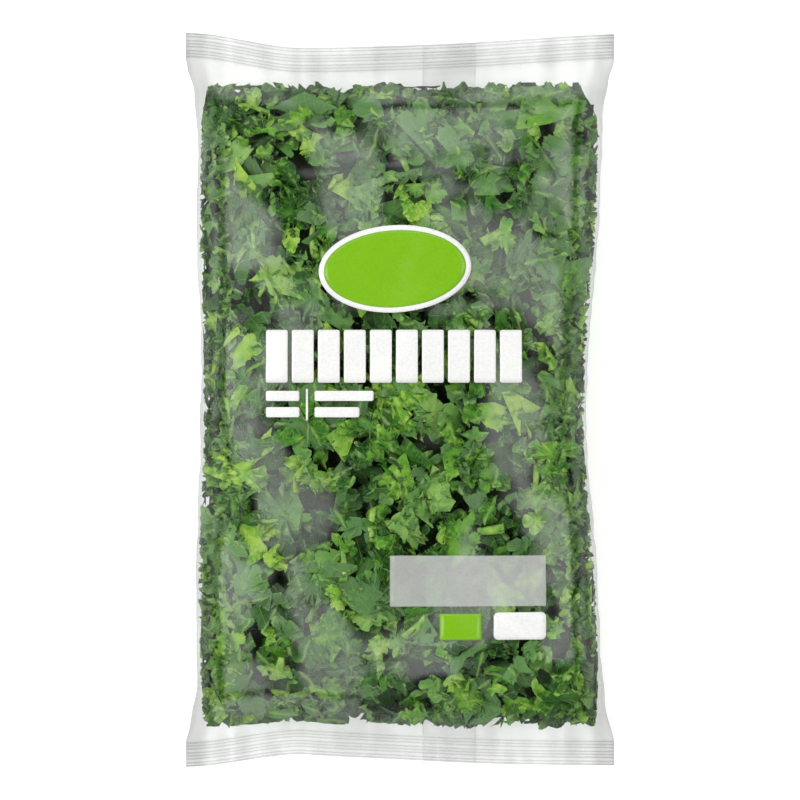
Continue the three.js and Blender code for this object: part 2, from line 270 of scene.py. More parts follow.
# Corners of the bag: width as a share of the half width, distance from the seal, and length
CORNER_SHADE, CORNER_FOLDS = (0.14, 8, 22), (0.22, 12, 17)
FOLD_HEIGHT, FOLD_LENGTH = 0.35, 3.4
PLEAT_HEIGHT, PLEAT_RUN, PLEAT_FULL = 0.3, 24, 0.25
PLEAT_BEND, PLEAT_BEND_LENGTH = 14, 30
# The film's mesh, and the steps that find its outward direction
CRIMP_ROWS, END_ROWS, BODY_ROWS, FILM_COLUMNS = 44, 26, 160, 248
END_RUN, END_CROWDING = 34, (0.02, 1.3)
STEP_ACROSS, STEP_ALONG, WALL_FROM = 0.004, 0.4, 0.9


def rib_profile(depth):
    """Height of the crimp's ribs at a distance from the seal's edge."""
    height = np.full_like(depth, RIB_HEIGHT)
    place = FIRST_RIB
    for group in RIB_GROUPS:
        for _ in range(group):
            height = height - 2 * RIB_HEIGHT * bell((depth - place) / (RIB_PITCH / 4))
            place += RIB_PITCH
        place += RIB_GROUP_GAP - RIB_PITCH
    return height


def crease_line(y):
    """Distance of the side creases from the middle of the front."""
    return CREASE_SHARE * half_width(y) - CREASE_INSET


def crease_depth(across, y):
    """How far the film folds in along the rim of the front panel, from 0 to 1."""
    x = across * half_width(y)
    wander = noise("crease wander", x, y) + noise("crease jitter", x, y)
    beside = abs(abs(x) - crease_line(y) - wander)
    ends = abs(abs(y) - (SEAL_LINE - END_CREASE_GAP) - wander)
    inside_ends = smoothstep(SEAL_LINE - CREASE_STOP - abs(y), 0, CREASE_FADE)
    inside_sides = smoothstep(WALL_EDGE[1] - abs(across), 0, END_CREASE_FADE)
    along_sides = bell(beside / CREASE_WIDTH) * inside_ends
    along_ends = END_CREASE_DEPTH * bell(ends / CREASE_WIDTH) * inside_sides
    return np.maximum(along_sides, along_ends)


def rib_lines(depth):
    """Share of a crimp groove at a distance from the seal's edge: 1 in its bottom, 0 between grooves."""
    return (RIB_HEIGHT - rib_profile(depth)) / (2 * RIB_HEIGHT)


def near_corner(across, from_seal, corner):
    """Share of a bag corner at a place, from its width, its distance from the seal and its length."""
    width, distance, length = corner
    return bell((1 - abs(across)) / width) * bell((from_seal - distance) / length)


def film_haze(across, side, y):
    """How milky the film is: clear where the front is pressed on the leaves."""
    x = across * half_width(y)
    nearest = np.min([((x - u) / a) ** 2 + ((y - v) / b) ** 2 for u, v, a, b in CLEAR_WINDOWS], axis=0)
    away = smoothstep(nearest + noise("window edges", x, y), *WINDOW_EDGE)
    patches = smoothstep(noise("milky patches", x, y) + noise("patch detail", x, y), *PATCH_EDGE)
    haze = HAZE["front"] * away * patches
    u, v, a, b = STREAK_ZONE
    streak_zone = np.exp(-(((y - v) / b) ** 2) - ((x - u) / a) ** 2)
    haze = haze + HAZE["streaks"] * streak_zone * smoothstep(noise("streaks", x, y), *STREAK_EDGE)
    wall = np.where(x > 0, HAZE["right wall"], HAZE["left wall"]) + noise("wall streaks", x, y)
    haze = lerp(haze, wall, smoothstep(abs(across), *WALL_EDGE))
    haze = haze * (1 - np.minimum(1, CREASE_CLEARING * crease_depth(across, y)))
    from_seal = SEAL_LINE - abs(y)
    haze = lerp(haze, HAZE["ends"], smoothstep(from_seal, *END_EDGE))
    crimped = smoothstep(from_seal, *CRIMP_EDGE)
    haze = lerp(haze, HAZE["crimps"], crimped)
    return np.where(side > 0, haze, lerp(HAZE["back"], HAZE["crimps"], crimped))


def film_tint_and_painted_shade(across, side, y):
    """Share of light that the film keeps back: its own faint grey, and painted shade in grooves, folds,
    corners, creases and soft patches and where it is seen edge-on.
    """
    x = across * half_width(y)
    from_seal = SEAL_LINE - abs(y)
    depth = HALF_LENGTH - abs(y)
    seal = np.where(y > 0, DIM["top seal"], DIM["bottom seal"])
    # Painted shade in the crimp's grooves and along the seal's outer edge, over the seals' own grey
    grooved = seal + DIM["grooves"] * rib_lines(depth) + DIM["seal edge"] * np.exp(-depth / SEAL_EDGE_RUN)
    grooves = np.where(from_seal <= 0, grooved, 0)
    # Painted shade: soft grey patches, darker walls and rims, corners and pleats
    shaded = DIM["shade"] * smoothstep(noise("shade", x, y), *SHADE_EDGE)
    walls = DIM["walls"] * smoothstep(abs(across), *WALL_EDGE)
    rims = walls + DIM["rims"] * smoothstep(abs(across), *RIM_EDGE)
    corner = near_corner(across, from_seal, CORNER_SHADE)
    pleated = abs(noise("pleat shade", x, y))
    pleats = DIM["pleats"] * pleated * np.exp(-np.maximum(0, from_seal) / PLEAT_SHADE_RUN)
    # Painted shade along the front's creases
    crease = np.where(side > 0, DIM["creases"] * crease_depth(across, y) ** 2, 0)
    total = DIM["film"] + grooves + shaded + rims + DIM["corners"] * corner + pleats + crease
    return np.clip(total, 0, DIM["most"])


def film_relief(across, side, y):
    """Height that the film's folds and the leaves behind it add to the smooth surface."""
    x = across * half_width(y)
    from_seal = SEAL_LINE - abs(y)
    fill = swell(from_seal)
    leaves = noise("leaf bumps", x, y) + noise("small leaf bumps", x, y)
    bent = x + PLEAT_BEND * np.sin(y / PLEAT_BEND_LENGTH)
    pleats = noise("pleats", bent, y) * np.exp(-from_seal / PLEAT_RUN)
    corner = near_corner(across, from_seal, CORNER_FOLDS)
    folds = FOLD_HEIGHT * corner * np.sin((x + np.sign(x) * y) / FOLD_LENGTH)
    relief = leaves * fill + (PLEAT_HEIGHT * pleats + folds) * smoothstep(fill, 0, PLEAT_FULL)
    crease = np.where(side > 0, CREASE_HEIGHT * crease_depth(across, y), 0)
    return np.where(from_seal > 0, relief, 0) - crease


def film_points(across, side, y, proud=0.0):
    """Points of the film with its relief, or of something that stands proud of it."""
    smooth = surface(across, side, y, 0)
    toward = np.where(across > 0, -STEP_ACROSS, STEP_ACROSS)
    sideways = surface(across + toward, side, y, 0) - smooth
    lengthways = surface(across, side, y + STEP_ALONG * np.where(y > 0, -1, 1), 0) - smooth
    normal = np.cross(sideways, lengthways)
    normal /= np.maximum(np.linalg.norm(normal, axis=-1, keepdims=True), 1e-9)
    away = smooth[..., 2] - WIDEST_HEIGHT
    from_middle = smooth[..., 0] * normal[..., 0] + away * normal[..., 2]
    outward = np.where(abs(across) > WALL_FROM, from_middle, side * normal[..., 2])
    normal *= np.where(outward < 0, -1, 1)[..., None]
    in_seal = SEAL_LINE - abs(y) <= 0
    normal = np.where(in_seal[..., None], np.stack([0 * y, 0 * y, side + 0 * y], axis=-1), normal)
    height = film_relief(across, side, y) + proud
    points = smooth + normal * height[..., None]
    ribs = np.where(in_seal, rib_profile(HALF_LENGTH - abs(y)), 0)
    points[..., 2] = np.maximum(points[..., 2] + ribs, FILM_LIFT)
    return points


def film_rows():
    """Places along the bag: close together in the crimps, wider apart over the body."""
    crimp = np.linspace(SEAL_LINE, HALF_LENGTH, CRIMP_ROWS)
    ends = SEAL_LINE - END_RUN * np.linspace(1, END_CROWDING[0], END_ROWS) ** END_CROWDING[1]
    body = np.linspace(-ends[0], ends[0], BODY_ROWS)
    return np.concatenate([-crimp[::-1], -ends[::-1], body[1:-1], ends, crimp])


def make_film(material):
    rows = film_rows()
    across, side, y = section_grid(rows, FILM_COLUMNS)
    points = film_points(across, side, y)
    faces = tube_faces(len(rows), FILM_COLUMNS)
    last = (len(rows) - 1) * FILM_COLUMNS
    for i in range(FILM_COLUMNS // 2):
        back, after = (FILM_COLUMNS - i) % FILM_COLUMNS, FILM_COLUMNS - i - 1
        for start, turned in ((0, 1), (last, -1)):
            face = [start + i, start + i + 1, start + after] + ([start + back] if i else [])
            face = list(dict.fromkeys(face))
            if len(face) > 2:
                faces.append(face[::-turned])
    piece = make_mesh("film", points.reshape(-1, 3), faces)
    add_values(piece, "film_haze", film_haze(across, side, y))
    add_values(piece, "film_tint_and_painted_shade", film_tint_and_painted_shade(across, side, y))
    finish_piece(piece, material, "film_bag")


def make_back_seam(material):
    """The flap of the seam along the back, folded flat against the bag from seal to seal."""
    rows = film_rows()[::2]
    x = SEAM_CENTRE + SEAM_WIDTH * np.linspace(-0.5, 0.5, SEAM_COLUMNS)
    y = rows[:, None] + 0 * x[None, :]
    across = (x[None, :] - centre_line(y)) / half_width(y)
    top = film_points(across, -1.0 + 0 * y, y, SEAM_LAP)
    bottom = top.copy()
    top[..., 2] -= SEAM_DROPS[0]
    bottom[..., 2] -= SEAM_DROPS[1]
    ring = np.concatenate([top, bottom[:, ::-1]], axis=1)
    columns = ring.shape[1]
    faces = tube_faces(len(rows), columns)
    for start, turned in ((0, 1), ((len(rows) - 1) * columns, -1)):
        for i in range(SEAM_COLUMNS - 1):
            face = [start + i, start + i + 1, start + columns - i - 2, start + columns - i - 1]
            faces.append(face[::-turned])
    piece = make_mesh("back_seam", ring.reshape(-1, 3), faces)
    place = np.arange(columns) % SEAM_COLUMNS
    edge = np.exp(-np.minimum(place, SEAM_COLUMNS - 1 - place) / SEAM_EDGE_RUN)
    add_values(piece, "film_haze", HAZE["seam"] + 0 * ring[..., 0])
    # Painted shade along both edges of the flap, over the film's own faint grey
    add_values(piece, "film_tint_and_painted_shade", DIM["seam"] + DIM["seam edge"] * edge[None, :] + 0 * ring[..., 0])
    finish_piece(piece, material)


# Kale

# Outline of a piece: waves round it and their depths, then notches, teeth and knife cuts
LOBES = ((2, 0.13), (3, 0.15), (5, 0.12), (8, 0.07))
NOTCHES, NOTCH_DEPTHS, NOTCH_WIDTHS = (1, 4), (0.2, 0.55), (0.08, 0.22)
TOOTH_DEPTH, TOOTH_LIMIT = 0.07, 1.6
CUT_DISTANCES, CUT_FACING, NO_CUT = (0.35, 0.8), 0.08, 9
# Form of a piece: rings, width, ruffled rim, quilting, twist, bow and fold
RING_POWER, ASPECTS = 0.8, (0.6, 1.0)
RUFFLE_LENGTHS, LEAST_RUFFLES, RUFFLE_POWER = (5.5, 9), 5, 2.2
RUFFLE_UNEVEN, RUFFLE_DRIFT, SECOND_RUFFLE = 0.5, 0.5, 0.4
RUFFLE_PULL, RUFFLE_SWAY = 0.25, 0.8
QUILT_HEIGHT, QUILT_LENGTHS = 0.3, (1.9, 2.2)
TWIST, BOW, MIDRIB_OFFSET = 0.006, 0.01, 0.5
FOLDED_SHARE, FOLD_PLACES, FOLD_ANGLES, FOLD_TURN = 0.25, (-0.1, 0.25), (0.8, 2.6), 0.06
# Tone of a piece: its spread, its bright few, and the painted light and shade on its ruffles and slopes
TONE_SPREAD, TONE_MIDDLE, TONE_STRETCH = (1.4, 2.1), 0.4, 1.25
BRIGHT_SHARE, BRIGHT_SIZE, BRIGHT_TONES = 0.16, 20, (0.7, 1)
PAINTED_RUFFLE_FULL_FROM, PAINTED_RUFFLE_LIGHT, PAINTED_SLOPE_LIGHT = 0.08, 0.2, 0.13
PAINTED_LIGHT_SHIFT, PAINTED_LIGHT_POWER = 0.9, 1.4
LEAST_CURL, MIDDLE_CURL, RIM_CURL = 0.1, 0.35, 0.65
UNDERSIDE_SHARE, UNDERSIDE_PALE, RIM_PALE = 0.34, 0.8, 0.2
# Places over the filling: steps round a section, jitter as shares of the spacing, spread in depth
SECTION_STEPS, JITTER_ACROSS, JITTER_ALONG = 161, (0.1, 0.9), (-0.45, 0.45)
DEPTH_SPREAD, PLACE_STEPS = 1.5, (0.01, 1)


def sheet_faces(rings, segments):
    """Faces of one sheet: a fan round its middle, and rings out to its rim."""
    around = np.arange(segments)
    after = (around + 1) % segments
    fan = np.stack([0 * around, 1 + around, 1 + after], axis=-1)
    quads = []
    for ring in range(rings - 1):
        a, b = 1 + ring * segments + around, 1 + ring * segments + after
        quads.append(np.stack([a, a + segments, b + segments, b], axis=-1))
    return fan, np.concatenate(quads)


def plate_faces(rings, segments):
    """Faces of a thin plate: a sheet, its underside, and the strip that joins them round the rim."""
    fan, quads = sheet_faces(rings, segments)
    around = np.arange(segments)
    after = (around + 1) % segments
    under = 1 + rings * segments
    rim = 1 + (rings - 1) * segments
    edge = np.stack([rim + around, rim + under + around, rim + under + after, rim + after], axis=-1)
    return (
        np.concatenate([fan, fan[:, ::-1] + under]),
        np.concatenate([quads, quads[:, ::-1] + under, edge]),
    )


def leaf_outline(rng, segments, cuts):
    """Radius and natural-edge share round a piece: lobed, notched, toothed and cut straight."""
    angle = 2 * np.pi * np.arange(segments) / segments
    radius = np.ones(segments)
    for waves_round, depth in LOBES:
        radius += depth * np.sin(waves_round * angle + rng.uniform(0, 2 * np.pi))
    for _ in range(rng.integers(*NOTCHES)):
        away = abs((angle - rng.uniform(0, 2 * np.pi) + np.pi) % (2 * np.pi) - np.pi)
        radius *= 1 - rng.uniform(*NOTCH_DEPTHS) * bell(away / rng.uniform(*NOTCH_WIDTHS))
    radius *= 1 + TOOTH_DEPTH * rng.standard_normal(segments).clip(-TOOTH_LIMIT, TOOTH_LIMIT)
    natural = np.ones(segments)
    for _ in range(cuts):
        facing, distance = rng.uniform(0, 2 * np.pi), rng.uniform(*CUT_DISTANCES)
        cosine = np.cos(angle - facing)
        limit = np.where(cosine > CUT_FACING, distance / np.maximum(cosine, CUT_FACING), NO_CUT)
        natural[limit < radius] = 0
        radius = np.minimum(radius, limit)
    blurred = (natural + np.roll(natural, 1) + np.roll(natural, -1)) / 3
    return angle, radius, blurred


def folded(along, height, crease, angle, turn_radius):
    """Bends the part of a sheet beyond a crease round a small cylinder, and on straight from there."""
    beyond = along - crease
    arc = np.clip(beyond / turn_radius, 0, angle)
    straight = np.maximum(0, beyond - angle * turn_radius)
    bent = crease + turn_radius * np.sin(arc) + straight * np.cos(arc)
    lift = turn_radius * (1 - np.cos(arc)) + straight * np.sin(arc)
    return (
        np.where(beyond > 0, bent - height * np.sin(arc), along),
        np.where(beyond > 0, lift + height * np.cos(arc), height),
    )


def leaf_piece(rng, size, rings, segments, frill, cuts):
    """One piece in its own plane: its points, their places on the leaf, share to the rim and painted light.
    """
    angle, radius, natural = leaf_outline(rng, segments, cuts)
    share = (np.arange(1, rings + 1) / rings) ** RING_POWER
    aspect, half = rng.uniform(*ASPECTS), size / 2
    folds = max(LEAST_RUFFLES, round(np.pi * size / rng.uniform(*RUFFLE_LENGTHS)))
    phase = rng.uniform(0, 2 * np.pi, 4)
    strength = natural * (1 + RUFFLE_UNEVEN * np.sin(2 * angle + phase[3]))
    curl = strength * frill * size * share[:, None] ** RUFFLE_POWER
    swing = folds * angle + phase[0] + RUFFLE_DRIFT * np.sin(3 * angle + phase[1])
    wave = np.sin(swing) + SECOND_RUFFLE * np.sin(2 * swing + phase[2])
    reach = share[:, None] * radius * half - RUFFLE_PULL * curl * wave ** 2
    sideways = RUFFLE_SWAY * curl * np.cos(swing)
    u = reach * np.cos(angle) - sideways * np.sin(angle)
    v = (reach * np.sin(angle) + sideways * np.cos(angle)) * aspect
    z = curl * wave + rng.normal(0, TWIST) * u * v
    first, second = QUILT_LENGTHS
    z = z + QUILT_HEIGHT * np.sin(u / first + phase[2]) * np.sin(v / second + phase[3])
    facing = rng.uniform(0, np.pi)
    along, beside = u * np.cos(facing) + v * np.sin(facing), v * np.cos(facing) - u * np.sin(facing)
    z = z + rng.normal(0, BOW) * along ** 2
    if rng.random() < FOLDED_SHARE:
        crease, turn = rng.uniform(*FOLD_PLACES) * size, rng.uniform(*FOLD_ANGLES)
        along, z = folded(along, z, crease, turn, FOLD_TURN * size)
    bent = np.stack([along * np.cos(facing) - beside * np.sin(facing),
                     along * np.sin(facing) + beside * np.cos(facing), z], axis=-1)
    points = np.concatenate([bent[:1].mean(axis=1), bent.reshape(-1, 3)])
    leaf = np.concatenate([[[0, 0, 0]], np.stack([u, v, 0 * z], axis=-1).reshape(-1, 3)])
    leaf[:, 1] += rng.uniform(-MIDRIB_OFFSET, MIDRIB_OFFSET) * size
    rim = np.concatenate([[0], np.repeat(share, segments)])
    # Painted light and shade: ruffle crests lighter and troughs darker, and each piece lighter towards one
    # side
    ruffled = min(1, frill / PAINTED_RUFFLE_FULL_FROM) * natural
    painted_ruffle_light = ruffled * np.sin(swing + PAINTED_LIGHT_SHIFT) * share[:, None] ** PAINTED_LIGHT_POWER
    painted_light_facing = rng.uniform(0, 2 * np.pi)
    painted_slope_light = (u * np.cos(painted_light_facing) + v * np.sin(painted_light_facing)) / half
    light = np.concatenate([[0], (PAINTED_RUFFLE_LIGHT * painted_ruffle_light + PAINTED_SLOPE_LIGHT * painted_slope_light).ravel()])
    return points, leaf, rim, light


def placed_leaf(points, rng, centre, normal, tilt):
    """The piece turned and tilted to lie at a place on the filling's surface, between its two ends."""
    helper = np.array([0.0, 1.0, 0.0]) if abs(normal[1]) < 0.8 else np.array([1.0, 0.0, 0.0])
    first = np.cross(helper, normal)
    first /= np.linalg.norm(first)
    second = np.cross(normal, first)
    heading, lean = rng.uniform(0, 2 * np.pi), rng.uniform(0, 2 * np.pi)
    tilted = normal + math.tan(tilt) * (first * math.cos(lean) + second * math.sin(lean))
    tilted /= np.linalg.norm(tilted)
    a = first * math.cos(heading) + second * math.sin(heading)
    a = a - tilted * np.dot(a, tilted)
    a /= np.linalg.norm(a)
    b = np.cross(tilted, a)
    placed = centre + points[:, :1] * a + points[:, 1:2] * b + points[:, 2:] * tilted
    inset = FILLING_FRINGE * rng.uniform(0, 1, 2)
    placed[:, 1] -= max(0, placed[:, 1].max() - (FILLING_TOP - inset[0]))
    placed[:, 1] += max(0, FILLING_BOTTOM + inset[1] - placed[:, 1].min())
    off = placed[:, 0] - centre_line(placed[:, 1])
    limit = body_half_width(placed[:, 1]) - SIDE_GAP - SIDE_FRINGE * rng.uniform(0, 1)
    placed[:, 0] -= max(0, (off - limit).max())
    placed[:, 0] += max(0, (-off - limit).max())
    return placed


def pressed(inside, softness):
    """Distances inside a wall: those under the softness, or beyond the wall, are squeezed against it."""
    squeezed = softness * np.exp(np.minimum(inside, softness) / softness - 1)
    return np.where(inside > softness, inside, squeezed)


def row_of(x, y):
    """The row of the bag's surface that the waves of its ends move to a place."""
    row = y
    for _ in range(ROW_ROUNDS):
        end_share = 1 - smoothstep(SEAL_LINE - abs(row), 0, WAVE_RUN)
        row = y + np.sign(y) * end_dip(x, row) * end_share
    return row


def held_inside(points):
    """Presses points that stand out of the bag back against the inside of its film."""
    x, y, z = points.T
    row = row_of(x, y)
    reach = SEAL_LINE - FILLING_FROM_SEAL
    held = np.sign(row) * (reach - pressed(reach - abs(row), END_SOFTNESS))
    limit = half_width(held) - SIDE_GAP
    offset = x - centre_line(held)
    left, right = (np.where(held > 0, *insets) for insets in zip(TOP_CORNER_INSETS, BOTTOM_CORNER_INSETS))
    corner = np.where(offset > 0, right, left) * smoothstep(SEAL_LINE - abs(held), *CORNER_RUN)
    reach_across = (body_half_width(held) - SIDE_GAP - corner) / limit
    room_beside = reach_across - abs(offset) / limit
    across = np.sign(offset) * (reach_across - pressed(room_beside, SIDE_SOFTNESS))
    front = surface(across, 1.0, held, FILM_GAP)[:, 2]
    back = surface(across, -1.0, held, FILM_GAP)[:, 2]
    room = np.maximum(front - back, LEAST_ROOM)
    z = front - np.minimum(pressed(front - z, FRONT_SOFTNESS), room)
    z = back + np.minimum(pressed(z - back, BACK_SOFTNESS), room)
    x = centre_line(held) + limit * across
    return np.stack([x, y + held - row, z], axis=-1)


def place_under_film(across, side, y, inwards):
    """A point inside the bag's surface, and the outward direction there."""
    beside, beyond = across + PLACE_STEPS[0], y + PLACE_STEPS[1]
    trio = surface(np.array([across, beside, across]), side, np.array([y, y, beyond]), inwards)
    normal = np.cross(trio[1] - trio[0], trio[2] - trio[0])
    if normal @ (trio[0] - np.array([0, y, WIDEST_HEIGHT])) < 0:
        normal = -normal
    return trio[0], normal / np.linalg.norm(normal)


def surface_places(rng, side, spacing, depth):
    """Jittered places over one half of the filling's surface, with their outward directions."""
    places = []
    reach = SEAL_LINE - FILLING_FROM_SEAL
    rows = int(2 * reach / spacing)
    steps = np.linspace(0, np.pi, SECTION_STEPS)
    for row in range(rows):
        y = -reach + 2 * reach * (row + 0.5) / rows
        section = surface(-np.cos(steps), side, y + 0 * steps, depth)
        length = np.concatenate([[0], np.cumsum(np.linalg.norm(np.diff(section, axis=0), axis=1))])
        columns = int(length[-1] / spacing)
        for column in range(columns):
            wanted = (column + rng.uniform(*JITTER_ACROSS)) / columns * length[-1]
            across = -math.cos(np.interp(wanted, length, steps))
            at = y + spacing * rng.uniform(*JITTER_ALONG)
            places.append(place_under_film(across, side, at, depth + rng.uniform(0, DEPTH_SPREAD)))
    return places


class Leaves:
    """Collects leaf pieces into one mesh, with the values that their material reads."""

    def __init__(self, name):
        self.name = name
        self.points, self.leaf, self.tone, self.pale, self.curl, self.faces = [], [], [], [], [], []
        self.count = 0

    def add(self, rng, place, size, grid, frill, cuts, tilt, shade):
        rings, segments = grid
        points, leaf, rim, light = leaf_piece(rng, size, rings, segments, frill, cuts)
        self.points.append(held_inside(placed_leaf(points, rng, *place, tilt)))
        self.leaf.append(leaf)
        tone = TONE_MIDDLE + TONE_STRETCH * (rng.beta(*TONE_SPREAD) - TONE_MIDDLE)
        if size < BRIGHT_SIZE and rng.random() < BRIGHT_SHARE:
            tone = rng.uniform(*BRIGHT_TONES)
        # The tone carries its painted light, and the layer's shade darkens it as painted shade
        self.tone.append(np.clip(tone + light, 0, 1) * shade)
        curled = np.clip(frill / FRILLS[-1], LEAST_CURL, 1)
        # Strength of the crinkles' painted light and of their bump, weaker in the layers with painted shade
        self.curl.append(curled * (MIDDLE_CURL + RIM_CURL * rim ** 2) * shade)
        underside = UNDERSIDE_PALE * shade if rng.random() < UNDERSIDE_SHARE else 0
        self.pale.append(rim * RIM_PALE + underside)
        fan, quads = sheet_faces(rings, segments)
        self.faces += (fan + self.count).tolist() + (quads + self.count).tolist()
        self.count += len(points)

    def build(self, material, replaced=None):
        piece = make_mesh(self.name, np.concatenate(self.points), self.faces)
        leaf = piece.data.attributes.new("leaf_place", "FLOAT_VECTOR", "POINT")
        leaf.data.foreach_set("vector", (np.concatenate(self.leaf) * MM).ravel())
        add_values(piece, "leaf_tone_and_painted_light", np.concatenate(self.tone))
        add_values(piece, "leaf_pale", np.concatenate(self.pale))
        add_values(piece, "leaf_crinkle_painted_light_and_bump", np.concatenate(self.curl))
        finish_piece(piece, material, replaced)


# Layers of leaf pieces, from the film inwards: depth under the film, spacing, sizes, spread of
# the tilt, rings and segments of each piece, and the painted shade that darkens the deeper layers
FRONT_LAYERS = {
    "broad": (1.7, 36.0, (24, 38), 0.14, (6, 84), 1.0),
    "outer": (2.2, 15.2, (11, 31), 0.3, (5, 68), 1.0),
    "second": (4.6, 15.5, (12, 30), 0.45, (4, 60), 0.7),
    "third": (8.0, 16.5, (14, 30), 0.6, (3, 42), 0.2),
    "fourth": (12.0, 19.0, (18, 34), 0.5, (2, 28), 0.05),
}
BACK_LAYERS = {
    "outer": (2.0, 17.0, (14, 34), 0.25, (4, 52), 1.0),
    "second": (4.4, 18.0, (16, 34), 0.4, (3, 40), 0.6),
}
FRILLS, CUTS, SIZE_SPREAD = (0.02, 0.06, 0.1, 0.15), (1, 4), (1.2, 1.8)
# Curls, crease curls, side leaves, the inner mass and stems; the curl and crease shades are painted shade
CURL_SPACING, CURL_SIZES, CURL_GRID, CURL_CUTS = 11.6, (6, 16), (3, 34), 1
CURL_DEPTH, CURL_FRILLS, CURL_TILT, SMALL_CURL_PAINTED_SHADE = 1.8, (0.1, 0.24), 0.6, 0.55
CREASE_END_GAP, CREASE_SPACING, CREASE_SIZES = 14, 3.8, (5, 10)
CREASE_STRAY, CREASE_DEPTH, CREASE_SPREAD = (-1, 1), 1.2, 1
CREASE_TILT, CREASE_PAINTED_SHADE = 0.5, 0.8
SIDE_END_GAP, SIDE_SPACING, SIDE_DEPTHS, SIDE_RISES = 8, 7.5, (1.2, 3), (-7, 5)
SIDE_SIZES, SIDE_GRID, SIDE_CUTS, SIDE_TILT = (12, 23), (4, 52), 2, 0.25
CORE_DEPTH, CORE_SIDE_DEPTH, CORE_END_GAP = 13, 5, 21
CORE_ROWS, CORE_COLUMNS = 60, 72
STEM_SPACINGS, STEM_DEPTH = ((1.0, 40), (-1.0, 50)), 2.8
STEM_LENGTHS, STEM_RADII, STEM_BOWS = (9, 22), (1.1, 2.3), (-0.15, 0.15)
STEM_TAPERS, TAPER_POWER, STEM_OVAL = (0.3, 0.85), 1.5, (1.25, 0.8)
STEM_SIDES, STEM_STEPS, STEM_TILT = 12, 9, 0.12
SEEDS = {
    "front": 7, "back": 17, "front curls": 27, "back curls": 37,
    "stems": 41, "crease curls": 57, "side leaves": 67,
}


def make_leaves(name, side, layer, seed, material, replaced):
    depth, spacing, sizes, tilt, grid, shade = layer
    rng = np.random.default_rng(seed)
    leaves = Leaves(name)
    for place in surface_places(rng, side, spacing, depth):
        size = lerp(*sizes, rng.beta(*SIZE_SPREAD))
        leaves.add(rng, place, size, grid, rng.choice(FRILLS), rng.integers(*CUTS),
                   abs(rng.normal(0, tilt)), shade)
    leaves.build(material, replaced)


def make_curls(side, seed, material):
    """Small torn curls that fill the gaps between the larger pieces."""
    rng = np.random.default_rng(seed)
    curls = Leaves("kale_curls_front" if side > 0 else "kale_curls_back")
    smallest, largest = CURL_SIZES
    for place in surface_places(rng, side, CURL_SPACING, CURL_DEPTH):
        size = rng.uniform(smallest, largest)
        # Painted shade: the smaller a curl, the darker its green
        shade = lerp(SMALL_CURL_PAINTED_SHADE, 1, (size - smallest) / (largest - smallest))
        frill = rng.uniform(*CURL_FRILLS)
        curls.add(rng, place, size, CURL_GRID, frill, CURL_CUTS, abs(rng.normal(0, CURL_TILT)), shade)
    curls.build(material)


def make_crease_curls(seed, material):
    """Small curls that the film's side creases press into two ragged lines."""
    rng = np.random.default_rng(seed)
    curls = Leaves("kale_crease_curls")
    for sign in (-1, 1):
        for y in np.arange(FILLING_BOTTOM + CREASE_END_GAP, FILLING_TOP - CREASE_END_GAP, CREASE_SPACING):
            across = sign * (crease_line(y) + rng.uniform(*CREASE_STRAY)) / half_width(y)
            place = place_under_film(across, 1.0, y, CREASE_DEPTH + rng.uniform(0, CREASE_SPREAD))
            size, frill = rng.uniform(*CREASE_SIZES), rng.uniform(*CURL_FRILLS)
            tilt = abs(rng.normal(0, CREASE_TILT))
            # Painted shade: curls pressed into the creases are drawn darker
            curls.add(rng, place, size, CURL_GRID, frill, CURL_CUTS, tilt, CREASE_PAINTED_SHADE)
    curls.build(material)


def make_side_leaves(seed, material):
    """Pieces standing on edge along both sides, where front and back meet."""
    rng = np.random.default_rng(seed)
    leaves = Leaves("kale_side_band")
    for sign in (-1, 1):
        for y in np.arange(FILLING_BOTTOM + SIDE_END_GAP, FILLING_TOP - SIDE_END_GAP, SIDE_SPACING):
            x = centre_line(y) + sign * (body_half_width(y) - rng.uniform(*SIDE_DEPTHS))
            centre = np.array([x, y, WIDEST_HEIGHT + rng.uniform(*SIDE_RISES)])
            place = (centre, np.array([sign, 0.0, 0.0]))
            leaves.add(rng, place, rng.uniform(*SIDE_SIZES), SIDE_GRID, rng.choice(FRILLS), SIDE_CUTS,
                       abs(rng.normal(0, SIDE_TILT)), 1.0)
    leaves.build(material)


def make_core(material):
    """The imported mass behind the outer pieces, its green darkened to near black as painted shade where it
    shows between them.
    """
    reach = SEAL_LINE - CORE_END_GAP
    across, side, y = section_grid(np.linspace(-reach, reach, CORE_ROWS), CORE_COLUMNS)
    points = surface(across, side, y, CORE_DEPTH)
    points[..., 0] = surface(across, side, y, CORE_SIDE_DEPTH)[..., 0]
    points[..., 2] += noise("core", points[..., 0], points[..., 1])
    faces = tube_faces(CORE_ROWS, CORE_COLUMNS)
    faces.append(list(range(CORE_COLUMNS))[::-1])
    faces.append([(CORE_ROWS - 1) * CORE_COLUMNS + i for i in range(CORE_COLUMNS)])
    piece = make_mesh("kale_inner_mass", points.reshape(-1, 3), faces)
    finish_piece(piece, material)


